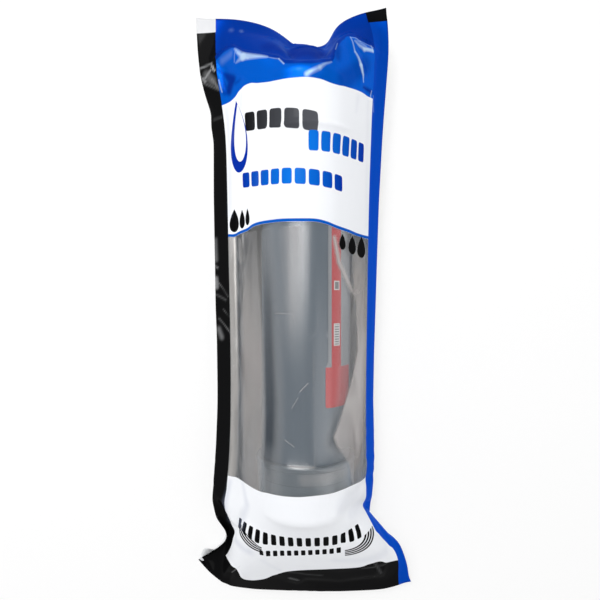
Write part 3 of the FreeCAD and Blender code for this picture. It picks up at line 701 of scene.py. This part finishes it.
printed = {  # places on the flat film in millimetres, from its lower left corner
    "black": rgb(15, 15, 16), "markWhite": rgb(222, 223, 225), "white": rgb(244, 246, 250),
    "ink": rgb(8, 8, 9), "grey": rgb(84, 86, 92),
    # the darker flap blue and the fold blue are painted shade on the blue top
    "blue": rgb(0, 98, 212), "shadedFlapBlue": rgb(0, 58, 165), "stripBlue": rgb(0, 78, 196), "foldShadeBlue": rgb(0, 38, 140),
    "deepBlue": rgb(0, 45, 160), "lightBlue": rgb(14, 116, 222), "ruleBlue": rgb(8, 88, 190),
    # the two crease colours are painted highlights; the shade tone is painted shade on the white print
    "creaseHighlight": rgb(200, 224, 250), "creaseGreyHighlight": rgb(196, 197, 199), "shadeTone": rgb(150, 158, 186),
    # the pale window tone is painted reflection and the colour of the window's scratches; the dim tone is painted
    # shade there
    "reflectionAndScratchTone": rgb(207, 203, 202), "dimTone": rgb(52, 56, 63), "clear": (0.95, 0.95, 0.95, 1),
    "perMetre": (1000.0, 994.3), "length": 350.0, "soft": 0.3, "flapSoft": 1.0, "rule": 1.7,
    "whiteMark": 342.3, "blackMark": (119.6, 344.0), "shadeMost": 0.3,
    # drawn lines: lowest and highest place of the curve, then its points, by v for the strips and by u for the rest
    "leftStrip": (5, 25, [(0, 12.5), (8, 12.2), (19, 14.5), (27, 17), (36, 18.5), (42, 14.5), (50, 12), (62, 11.3),
        (90, 11.3), (350, 11.3)]),
    "rightStrip": (110, 130, [(0, 124.6), (8, 125), (20, 126), (31, 123.2), (44, 117), (53, 114.5), (60, 117),
        (68, 120.4), (80, 121.2), (110, 120.4), (350, 120.4)]),
    "topLine": (280, 310, [(0, 299), (13.5, 299), (21.6, 300.2), (27.7, 303.1), (32.6, 304.2), (42, 302), (51, 300),
        (62, 298.6), (77, 297.8), (86, 296.6), (95, 297.8), (108, 299), (131, 298)]),
    "flapLine": (300, 340, [(0, 322.6), (9.2, 324.6), (14, 326.1), (20.2, 327.1), (26.5, 326.4), (32.8, 320.9),
        (41.5, 316.7), (50.2, 313.2), (56, 310.2), (59.8, 306.5), (67.5, 304.5), (76.2, 304.5), (83.8, 307.5),
        (88, 314.9), (92.8, 321.7), (97.8, 327.1), (102.2, 330.1), (105.5, 328.9), (110, 328.1), (117.5, 326.9),
        (131, 326.9)]),
    "windowTop": (210, 235, [(0, 222.3), (12, 222.3), (15.4, 222), (21, 223), (28.5, 224), (34, 225.7), (39, 226.2),
        (49, 226.1), (66, 225.3), (75, 225), (81, 224), (88, 222.3), (98, 221), (110, 219.5), (131, 219.5)]),
    "windowFoot": (70, 90, [(0, 75), (12, 75.5), (20.5, 77), (32, 77.4), (40, 78.4), (49, 81), (60, 83), (67, 83.8),
        (75, 84.4), (85, 84), (92, 83.7), (104, 81.8), (119, 79.6), (131, 79.6)]),
    "blackBand": (5, 30, [(0, 13), (12, 14.5), (23, 18), (27.5, 18.4), (30.5, 13), (35, 10), (41, 10.8), (51, 17.5),
        (61.8, 22.8), (83.2, 24.8), (100.5, 26), (108, 28), (117, 23.5), (125.2, 18.6), (131, 14)]),
    # thin strokes, painted highlights and window scratches: (u, v, half width) at both ends, soft rim, strength
    "highlightStreaks": [(27.2, 325.4, 0.3, 32.8, 319.2, 1.8, 1.6, 0.62), (26.8, 318.2, 0.2, 32.8, 319.2, 1.6, 1.2, 0.45),
        (32.8, 319.4, 1.8, 48.5, 314, 0.3, 1.4, 0.75), (28.2, 324.4, 0.3, 25.8, 319.2, 0.3, 1, 0.35),
        (29, 322.4, 0.3, 36.2, 317.4, 0.5, 0.9, 0.5), (49, 313.7, 0.1, 56, 310.7, 0.2, 0.7, 0.5),
        (56, 310.7, 0.25, 59.2, 306.5, 0.25, 0.7, 0.75), (102.2, 329.4, 0.2, 103, 319.7, 0.3, 0.8, 0.7),
        (103, 319.7, 0.35, 106, 313, 1, 1, 0.72), (106, 313, 1, 109.5, 305, 0.15, 1, 0.9),
        (102.5, 329.4, 0.2, 108.5, 327.6, 0.3, 0.7, 0.55), (104.2, 326.6, 0.3, 109.8, 323.1, 1.1, 1.4, 0.62),
        (109.8, 323.1, 0.8, 117.8, 325.1, 0.9, 1, 0.9), (108.5, 327.6, 0.2, 118.5, 326.9, 0.2, 0.7, 0.45),
        (116.8, 327.4, 0.3, 118.2, 324.6, 0.6, 0.8, 0.6), (84, 307.5, 0.15, 77, 302.5, 0.7, 1.1, 0.6),
        (77, 302.5, 0.7, 70.8, 299.5, 1.1, 1.5, 0.6), (92.2, 322.4, 0.1, 89, 316.9, 0.1, 0.6, 0.5),
        (12, 313.2, 0.3, 13, 306.2, 0.3, 0.8, 0.75), (118.8, 303, 0.2, 118.2, 299.5, 0.2, 0.7, 0.9),
        (120.8, 296.3, 0.1, 121.2, 291.8, 0.1, 0.6, 0.5), (120.5, 300.8, 0.1, 121.8, 291.8, 0.1, 0.8, 0.4)],
    # painted highlight on the black band at the foot
    "greyHighlightStreaks": [(23.5, 11.7, 0.2, 30.2, 22.9, 0.2, 0.9, 0.25)],
    "thinMarks": [(95.8, 128.5, 0.2, 87, 111.6, 0.2, 1.2, 0.3), (87, 111.6, 0.1, 94.2, 101.9, 0.1, 1.2, 0.25),
        (51.2, 176.5, 0.1, 62.5, 176.2, 0.1, 0.6, 0.35), (62.5, 176.2, 0.1, 63.8, 171.5, 0.1, 0.6, 0.35),
        (66.5, 136, 0.1, 71, 140.4, 0.1, 0.6, 0.4), (58, 110.6, 0.1, 63.5, 107.9, 0.1, 0.6, 0.3),
        (62, 127.3, 0.05, 65.5, 132.7, 0.05, 0.6, 0.3)],
    # drops: middle, foot, height, half width
    "emptyDrop": [(23, 257.5, 41, 8), (24, 263.5, 33, 5.6)],  # outline and the smaller drop cut out of it
    "drops": [(16.6, 223.9, 13.6, 4.2), (24, 225.2, 11, 2.7), (29, 226.4, 9.8, 2),
        (93, 210.4, 8.8, 3), (102, 208.4, 10.8, 3.9), (111.6, 207, 12.4, 4.8)],
    "rows": [  # from, to, level, level at the far end, half height, blocks, fill, first colour, last colour
        (28.5, 77, 284.5, 275.5, 5.2, 5, 0.84, "ink", "grey"),
        (70.5, 113, 266.5, 266, 5.2, 6, 0.8, "lightBlue", "deepBlue"),
        (24.5, 62.83, 252.5, 248.6, 4.2, 5, 0.8, "deepBlue", "lightBlue"),
        (62.83, 93.5, 248.6, 245.5, 4.2, 4, 0.8, "lightBlue", "deepBlue"),
        (24.5, 103, 50.8, 55.8, 4.1, 16, 0.62, "ink", "ink"),
        (42, 90, 40.3, 45.5, 2.6, 12, 0.62, "ink", "ink"),
    ],
    "arcs": [(90.4, 53, 91.5, 113.5), (46, 53.5, 26, 44.5)],  # middle (u, v), and from and to in u
    "gloss": {"Specular IOR Level": 0.0, "Specular Tint": (0.25, 0.55, 1.0, 1), "Coat Weight": 0.06,
              "Coat Roughness": 0.1},
    "roughness": (-0.22, 0.5), "blueMetal": 0.8,  # roughness: change in the window, value on the print
    "glare": (0.16, 0.056), "slant": 2.0,  # the window's sheen: added at a slant, and straight on
    "wave": {"Scale": 55.0, "Detail": 1.0, "Distortion": 0.8}, "waveStretch": (1.0, 0.35, 1.0),
    # waves break up the painted reflections; the cover scales how far the painted reflections, shade and scratches
    # replace the clear film
    "waveReflection": (1.1, 0.45), "veilCover": 5.0, "waveDepth": 0.011,
    "middle": 66.0, "sideFrom": 34.0, "sideSoft": 8.0,  # the film lies loose this far from its middle
    "crinkles": (90.0, (1.0, 0.6, 1.0)), "crinkleDepth": 0.0012, "crinkleMost": (-0.3, 0.45),
}


# The film's own flat coordinates: the pair itself, and both in millimetres, v so that the whole length is 350.
def flatPlace(tree):
    uv = newField(tree, "UVMap", uv_map="flat")
    u, v = (newField(tree, "SeparateXYZ", {0: uv}, k) * printed["perMetre"][k] for k in (0, 1))
    return uv, u, v


# The painted shade, highlights and reflections at every grid point, four numbers each.
# A stroke's share is 0.5 plus its half width less the distance to its middle line, over its soft rim; a veil's is the
# product of the same steps at its two sides.
def broadShares(nx, ny):
    u, v = np.meshgrid(np.linspace(0, pouch["width"], nx), np.linspace(0, printed["length"], ny))
    shares = np.zeros((ny, nx, 4))
    for k, name in enumerate(("darkShade", "pale", "reflectionAndScratches", "shade")):
        for u0, v0, wide0, u1, v1, wide1, soft, most in paintedLightAndShade[name]:
            along = np.clip(((u - u0) * (u1 - u0) + (v - v0) * (v1 - v0)) / ((u1 - u0) ** 2 + (v1 - v0) ** 2), 0, 1)
            far = np.hypot(u - u0 - along * (u1 - u0), v - v0 - along * (v1 - v0))
            mask = np.clip((wide0 + along * (wide1 - wide0) - far) / soft + 0.5, 0, 1)
            shares[..., k] = np.maximum(shares[..., k], most * mask * mask * (3 - 2 * mask))
    for veil in reflectionAndShadeVeils:
        left, right, most = (np.interp(v, *np.array(veil[name]).T) for name in ("left", "right", "most"))
        sides = np.clip((u - left) / veil["soft"][0] + 0.5, 0, 1) * np.clip((right - u) / veil["soft"][1] + 0.5, 0, 1)
        # painted shade goes with the fold shade, painted reflections with the third channel
        k = 0 if veil["dims"] else 2
        shares[..., k] = np.maximum(shares[..., k], most * sides * (v > veilFrom) * (v < veilTo))
    return shares.reshape(-1, 4)


# Front film: opaque print round a clear window, with painted shade, highlights and reflections.
def printedFilm():
    p = printed
    material, tree, shader = newMaterial("printedFilm", p["gloss"])
    uv, u, v = flatPlace(tree)
    soft = p["soft"]
    names = ("topLine", "flapLine", "windowTop", "windowFoot", "blackBand")
    topLine, flapLine, windowTop, windowFoot, blackBand = (lineOver(u, *p[name]) for name in names)
    left = below(u, lineOver(v, *p["leftStrip"]), soft)
    right = above(u, lineOver(v, *p["rightStrip"]), soft)
    overTop, underTop = above(v, topLine, soft), below(v, topLine, soft)
    # the print: white panel under the blue top, its flap above the fold line painted darker as shade,
    # rows, arcs, drops, the rule over the window, black band, side strips
    colour = blend(overTop, p["white"], blend(above(v, flapLine, p["flapSoft"]), p["blue"], p["shadedFlapBlue"]))
    for *numbers, first, last in p["rows"]:
        ink, share = placeGroup(blocks, u, v, *numbers)
        colour = blend(ink, colour, blend(share, p[first], p[last]))
    lines = largest(*(placeGroup(arcs, u, v, *numbers)[0] for numbers in p["arcs"]))
    outline, hollow = (placeGroup(drop, u, v, *numbers)[0] for numbers in p["emptyDrop"])
    drops = largest(*(placeGroup(drop, u, v, *numbers)[0] for numbers in p["drops"]))
    rule = below(abs(v - windowTop), p["rule"] / 2, soft)
    band = below(v, blackBand, soft)
    for mask, tone in ((lines, "ink"), (outline * (1.0 - hollow), "deepBlue"), (rule, "ruleBlue"), (drops, "ink"),
                       (band, "black"), (left, "black"), (right, "stripBlue"),
                       (left * above(v, p["whiteMark"], soft), "markWhite")):
        colour = blend(mask, colour, p[tone])
    # painted shade on the white and in the folds of the blue, painted highlights along creases and on the black
    # strips, over it
    broad = newNode(tree, "Attribute", attribute_name="paintedLightShade").outputs
    darkShade, pale, reflectionAndScratches = (Field(part) for part in newNode(tree, "SeparateColor", {0: Field(broad["Color"])}).outputs)
    shade = Field(broad["Alpha"])
    for mask, tone in ((underTop * (shade * p["shadeMost"]), "shadeTone"), (darkShade * overTop, "foldShadeBlue"),
                       (pale, "creaseHighlight"), (largest(left, band) * reflectionAndScratches, "creaseGreyHighlight")):
        colour = blend(mask, colour, p[tone])
    for marks, tone in (("highlightStreaks", "creaseHighlight"), ("greyHighlightStreaks", "creaseGreyHighlight")):
        for numbers in p[marks]:
            colour = blend(placeGroup(stroke, u, v, *numbers)[0], colour, p[tone])
    markU, markV = p["blackMark"]
    colour = blend(above(u, markU, soft) * above(v, markV, soft), colour, p["black"])
    # the window: clear apart from its sheen, the painted reflections and painted shade, and thin scratches
    window = below(v, windowTop, soft) * above(v, windowFoot, soft)
    for mask in (left, right, rule, drops):
        window = window * (1.0 - mask)
    steep = newField(tree, "LayerWeight", {"Blend": 0.5}, "Facing") ** p["slant"]
    wave = noise(uv, p["waveStretch"], **p["wave"])
    marks = (placeGroup(stroke, u, v, *numbers)[0] for numbers in p["thinMarks"])
    # Painted reflections, broken up by waves, joined by the thin scratches; painted shade adds to them, coloured from
    # the pale reflection tone to the dim shade tone.
    reflectionAndScratches = largest(reflectionAndScratches * wave.math("MULTIPLY_ADD", *p["waveReflection"]), *marks)
    veil = reflectionAndScratches + darkShade
    veiledShare = veil.math("MULTIPLY", p["veilCover"], clamp=True)
    reflectionShadeTone = blend(darkShade / (veil + 0.001), p["reflectionAndScratchTone"], p["dimTone"])
    glare = steep.math("MULTIPLY_ADD", *p["glare"], clamp=True)
    blue = largest(overTop * (1.0 - left), right)
    feed(shader, {
        "Base Color": blend(window, colour, blend(veiledShare, p["clear"], reflectionShadeTone)),
        "Alpha": largest(1.0 - window, glare.math("ADD", veil, clamp=True)),
        "Metallic": largest(window * (1.0 - veiledShare), blue * p["blueMetal"]),
        "Roughness": window.math("MULTIPLY_ADD", *p["roughness"]),
    })
    side = above(abs(u - p["middle"]), p["sideFrom"], p["sideSoft"])
    loose = newField(tree, "Bump", {"Strength": side * window, "Distance": p["waveDepth"], "Height": wave})
    height = placeGroup(crinkles, uv, *p["crinkles"])[0]
    addBump(shader, window.math("MULTIPLY_ADD", *p["crinkleMost"]), p["crinkleDepth"], height, loose)
    return material


backing = {
    "silver": {"Metallic": 0.8, "Roughness": 0.34}, "silverTones": (rgb(228, 223, 217), rgb(246, 241, 235)),
    "streaks": {"Scale": 160.0, "Detail": 3.0}, "streakStretch": (1.0, 0.06, 1.0),
    "seals": (19.5, 118.5), "sealSoft": 0.8, "sealMost": 0.55, "sealShadeTone": rgb(110, 110, 112),  # painted shade along the seals
    "corner": (5.0, 25.0), "cornerSoft": (1.0, 4.0), "cornerTone": rgb(236, 238, 240),  # the turned corner is bare
    "silverCrinkles": (60.0, (1.0, 0.5, 1.0)), "silverDepth": 0.0015,
    "white": {"Roughness": 0.25}, "whiteTones": (rgb(226, 227, 229), rgb(240, 241, 243)),
    "patches": {"Scale": 40.0, "Detail": 3.0},
    "whiteCrinkles": (70.0, (1.0, 0.5, 1.0)), "whiteDepth": 0.0012, "crinkleMost": 0.3,
}


# Inner face of the back film: metallised, faintly streaked along the roll, darker along the seals as painted shade.
def silverFilm():
    b = backing
    material, tree, shader = newMaterial("silverFilm", b["silver"])
    uv, u, v = flatPlace(tree)
    colour = blend(noise(uv, b["streakStretch"], **b["streaks"]), *b["silverTones"])
    # painted shade: the seal zones are darker
    shadedSeals = largest(below(u, b["seals"][0], b["sealSoft"]), above(u, b["seals"][1], b["sealSoft"]))
    colour = blend(shadedSeals * b["sealMost"], colour, b["sealShadeTone"])
    corner = below(u, b["corner"][0], b["cornerSoft"][0]) * below(v, b["corner"][1], b["cornerSoft"][1])
    metal = b["silver"]["Metallic"]
    feed(shader, {"Base Color": blend(corner, colour, b["cornerTone"]),
                  "Metallic": corner.math("MULTIPLY_ADD", -metal, metal)})
    addBump(shader, b["crinkleMost"], b["silverDepth"], placeGroup(crinkles, uv, *b["silverCrinkles"])[0])
    return material


# Outer face of the back film: white, glossy, with the same crinkles.
def whiteFilm():
    b = backing
    material, tree, shader = newMaterial("backFilmOutside", b["white"])
    uv = flatPlace(tree)[0]
    feed(shader, {"Base Color": blend(noise(uv, **b["patches"]), *b["whiteTones"])})
    addBump(shader, b["crinkleMost"], b["whiteDepth"], placeGroup(crinkles, uv, *b["whiteCrinkles"])[0])
    return material


films = settledFilms()
films = finer(films, pouch["meshGap"])
addCreases(films)
foldCorner(films)
films[..., 2] = np.maximum(films[..., 2], pouch["lowest"])
printMaterial, silverMaterial, whiteMaterial = printedFilm(), silverFilm(), whiteFilm()
frontFilm = filmObject("frontFilm", films[0], 1, printMaterial)
shares = broadShares(films.shape[2], films.shape[1])
# the painted shade, highlights and reflections of the front film, stored on its points
paintedLightShade = frontFilm.data.attributes.new("paintedLightShade", "FLOAT_COLOR", "POINT")
paintedLightShade.data.foreach_set("color", np.concatenate([shares, shares]).ravel())
backSheet = filmObject("backFilm", films[1], -1, whiteMaterial)
backSheet.data.materials.append(silverMaterial)
quads = (films.shape[1] - 1) * (films.shape[2] - 1)
which = np.zeros(len(backSheet.data.polygons), np.int32)
which[quads:2 * quads] = 1  # the face turned to the cartridge
backSheet.data.polygons.foreach_set("material_index", which)
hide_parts("pouch_front_film")
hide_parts("pouch_back_film")
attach(frontFilm, "root")
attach(backSheet, "root")
print("pouch made")


# A piece's own place as a field.
def objectPlace(tree):
    return newField(tree, "TexCoord", None, "Object")


# Angle round the cartridge in degrees from its crown toward +X, and the place along it in millimetres.
def aroundPipe(tree):
    x, y, z = (Field(part) for part in newNode(tree, "SeparateXYZ", {0: objectPlace(tree)}).outputs)
    x, z = x - (cartridge["x"] + shift["x"]) * 0.001, z - cartridge["z"] * 0.001
    along = y.math("MULTIPLY_ADD", 1000.0, -(cartridge["y"] + shift["y"]))
    return x.math("ARCTAN2", z) * (180 / math.pi), along


plastic = {
    "slow": {"Scale": 25.0, "Detail": 3.0}, "slowShare": 0.65, "lines": {"Scale": 700.0, "Detail": 2.0},
    "lineStretch": (1.0, 0.02, 1.0), "lineShare": 0.35, "lineBump": (0.15, 0.0003),
    "scratches": [(0.7, 70.0, 0.36), (-0.4, 90.0, 0.34)],  # turn, scale, amount
    "scratchTone": rgb(205, 208, 212), "scratchMost": 0.5,
}


# Grey extruded or moulded plastic: slow tone changes, fine lengthwise lines and a few scratches.
def pipePlastic(name, low, high, roughness):
    p = plastic
    material, tree, shader = newMaterial(name, {"Roughness": roughness})
    place = objectPlace(tree)
    lines = noise(place, p["lineStretch"], **p["lines"])
    tone = lines.math("MULTIPLY_ADD", p["lineShare"], noise(place, **p["slow"]) * p["slowShare"])
    marks = largest(*(placeGroup(scratches, place, *numbers)[0] for numbers in p["scratches"]))
    colour = blend(marks * p["scratchMost"], blend(tone, low, high), p["scratchTone"])
    feed(shader, {"Base Color": colour})
    addBump(shader, *p["lineBump"], lines)
    return material


sticker = {  # angles round the pipe in degrees, places along it in millimetres
    "red": rgb(178, 26, 36), "redLight": rgb(186, 33, 43), "grey": rgb(128, 131, 136), "greyLight": rgb(138, 141, 146),
    "white": rgb(205, 205, 205), "bar": rgb(112, 112, 114), "strip": (32.4, 48.0), "footEnd": 70.0, "footTop": -37.9,
    "patches": [  # from and to along, from and to round, 1 where it is barred
        (3.5, 8.5, 36.0, 45.0, 0.0), (-26.5, -14.5, 35.5, 45.5, 1.0)],
    "rimAlong": 0.6, "rimRound": 1.4, "barRate": 0.75, "barFrom": 0.5, "barSoft": 0.2,
    "alongSoft": 0.2, "roundSoft": 0.4, "footSoft": (0.3, 0.6),
    "roughness": 0.45, "grain": 900.0, "grainBump": (0.1, 0.0002),
}


# Sticker: grey ground, a red strip that widens to a foot, and small plain patches on it.
def stickerPaper():
    s = sticker
    material, tree, shader = newMaterial("stickerPaper", {"Roughness": s["roughness"]})
    angle, along = aroundPipe(tree)
    foot = below(along, s["footTop"], s["footSoft"][0]) * below(angle, s["footEnd"], s["footSoft"][1])
    tone = noise(objectPlace(tree), Scale=s["grain"])
    red = largest(between(angle, *s["strip"], s["roundSoft"]), foot)
    colour = blend(red, blend(tone, s["grey"], s["greyLight"]), blend(tone, s["red"], s["redLight"]))
    bars = above((along * s["barRate"]).math("FRACT"), s["barFrom"], s["barSoft"])
    for low, high, start, end, barred in s["patches"]:
        whole, core = (between(along, low + a, high - a, s["alongSoft"])
                       * between(angle, start + r, end - r, s["roundSoft"])
                       for a, r in ((0.0, 0.0), (s["rimAlong"], s["rimRound"])))
        colour = blend(core * largest(bars, 1.0 - barred), blend(whole, colour, s["white"]), s["bar"])
    feed(shader, {"Base Color": colour})
    addBump(shader, *s["grainBump"], tone)
    return material


grainForm = {"noise": {"Detail": 4.0, "Roughness": 0.6}, "range": {1: 0.3, 2: 0.7}, "bump": 0.4}


# A plain material with grain in its colour and its surface.
def grained(name, low, high, roughness, scale, depth, stretch=(1.0, 1.0, 1.0)):
    material, tree, shader = newMaterial(name, {"Roughness": roughness})
    grain = noise(objectPlace(tree), stretch, Scale=scale, **grainForm["noise"])
    feed(shader, {"Base Color": blend(newField(tree, "MapRange", {0: grain, **grainForm["range"]}), low, high)})
    addBump(shader, grainForm["bump"], depth, grain)
    return material


finishes = {  # each with its darkest and lightest colour, roughness, and the scale and depth of its grain
    "housing_tube": pipePlastic("pipeGrey", rgb(78, 90, 101), rgb(90, 102, 113), 0.42),
    "inlet_end_cap": pipePlastic("capGrey", rgb(90, 99, 106), rgb(100, 109, 116), 0.5),
    "side_label": stickerPaper(),
    "carbon_block": grained("pressedCarbon", rgb(20, 20, 21), rgb(44, 44, 46), 0.85, 2200.0, 0.0006),
    "block_wrap": grained("feltWrap", rgb(226, 225, 218), rgb(246, 245, 240), 0.95, 1400.0, 0.0005, (1.0, 0.35, 1.0)),
    "core_tube": grained("naturalPlastic", rgb(222, 221, 214), rgb(234, 233, 227), 0.4, 300.0, 0.0001),
    "outlet_o_rings": grained("ringRubber", rgb(18, 18, 18), rgb(30, 30, 30), 0.55, 1800.0, 0.0002),
    "inlet_port_plug": grained("plugRed", rgb(190, 34, 30), rgb(202, 44, 38), 0.42, 260.0, 0.0001),
}
finishes["outlet_end_cap"] = finishes["inlet_end_cap"]
finishes["outlet_port_plug"] = finishes["inlet_port_plug"]
for name in ("closed_end_disc", "outlet_end_disc", "centring_spider"):
    finishes[name] = finishes["core_tube"]
for name, material in finishes.items():
    mesh = bpy.data.objects[name].data
    mesh.materials.clear()
    mesh.materials.append(material)
print("cartridge finished")

studio = {
    "floor": 3.0, "floorDown": 0.0003, "paper": {"Roughness": 0.9, "Base Color": (0.93, 0.93, 0.93, 1)},
    "floorGlow": 1.05, "glowShare": 0.6,  # plain white, and its share in what the camera and mirrors see
    "sides": 0.78, "overhead": 0.36, "sidesTo": 0.3, "overheadFrom": 0.75,  # strength of the sky by height
    "horizon": 0.08, "horizonSoft": 0.12,
    "lights": {  # place, size, power, target
        "keyLight": ((-0.33, 0.42, 0.9), (0.85, 0.85), 5.6, None),
        "glintLight": ((-0.25, 0.42, 0.85), (0.2, 0.2), 1.8, (0, 0.12, 0.02)),
        "fillLight": ((0.7, -0.3, 0.8), (0.5, 0.8), 1.2, (0, 0, 0.02)),
    },
}


# 1 for the kinds of ray that are named.
def seenBy(tree, *kinds):
    ray = newNode(tree, "LightPath").outputs
    return largest(*(Field(ray[kind]) for kind in kinds))


# White floor that keeps part of the shadow: the camera and mirrors see it partly as plain white.
def studioFloor():
    material, tree, shader = newMaterial("studioFloor", studio["paper"])
    glow = newField(tree, "Emission", {"Color": (1, 1, 1, 1), "Strength": studio["floorGlow"]})
    share = seenBy(tree, "Is Camera Ray", "Is Glossy Ray", "Is Transmission Ray") * studio["glowShare"]
    both = newField(tree, "MixShader", {0: share, 1: Field(shader.outputs[0]), 2: glow})
    feed(tree.nodes["Material Output"], {"Surface": both})
    bpy.ops.mesh.primitive_plane_add(size=studio["floor"], location=(0, 0, -studio["floorDown"]))
    floor = bpy.context.object
    floor.name = "floor"
    floor.data.materials.append(material)


# A rectangular soft light, straight down or facing its target.
def areaLight(name, place, size, power, target):
    light = bpy.data.lights.new(name, "AREA")
    light.shape, light.size, light.size_y, light.energy = "RECTANGLE", size[0], size[1], power
    obj = bpy.data.objects.new(name, light)
    bpy.context.collection.objects.link(obj)
    obj.location = place
    if target is not None:
        way = mathutils.Vector(target) - mathutils.Vector(place)
        obj.rotation_euler = way.to_track_quat("-Z", "Y").to_euler()


# Plain sky, weaker overhead. The camera sees it white, and so do reflections near the horizon.
def studioSky():
    world = bpy.data.worlds.new("studio")
    bpy.context.scene.world = world
    world.use_nodes = True
    tree = world.node_tree
    sky = tree.nodes["Background"]
    sky.inputs["Color"].default_value = (1, 1, 1, 1)
    height = newField(tree, "SeparateXYZ", {0: newField(tree, "TexCoord", None, "Generated")}, 2)
    room = newField(tree, "MapRange", {0: height, 1: studio["sidesTo"], 2: studio["overheadFrom"],
                                       3: studio["sides"], 4: studio["overhead"]})
    mirrored = seenBy(tree, "Is Glossy Ray", "Is Transmission Ray")
    mirrored = mirrored * below(height, studio["horizon"], studio["horizonSoft"])
    feed(sky, {"Strength": largest(seenBy(tree, "Is Camera Ray"), mirrored, room)})


studioFloor()
for name, values in studio["lights"].items():
    areaLight(name, *values)
studioSky()
camera = bpy.data.cameras.new("photoCamera")
camera.lens, camera.sensor_width, camera.clip_start, camera.clip_end = view["lens"], view["sensor"], *view["clip"]
cameraObject = bpy.data.objects.new("photoCamera", camera)
cameraObject.location = ((view["centreX"] + shift["x"]) * 0.001, (view["centreY"] + shift["y"]) * 0.001,
                         view["height"] * 0.001)
bpy.context.collection.objects.link(cameraObject)
bpy.context.scene.camera = cameraObject
bpy.context.scene.view_settings.view_transform = "Standard"
print("studio ready")
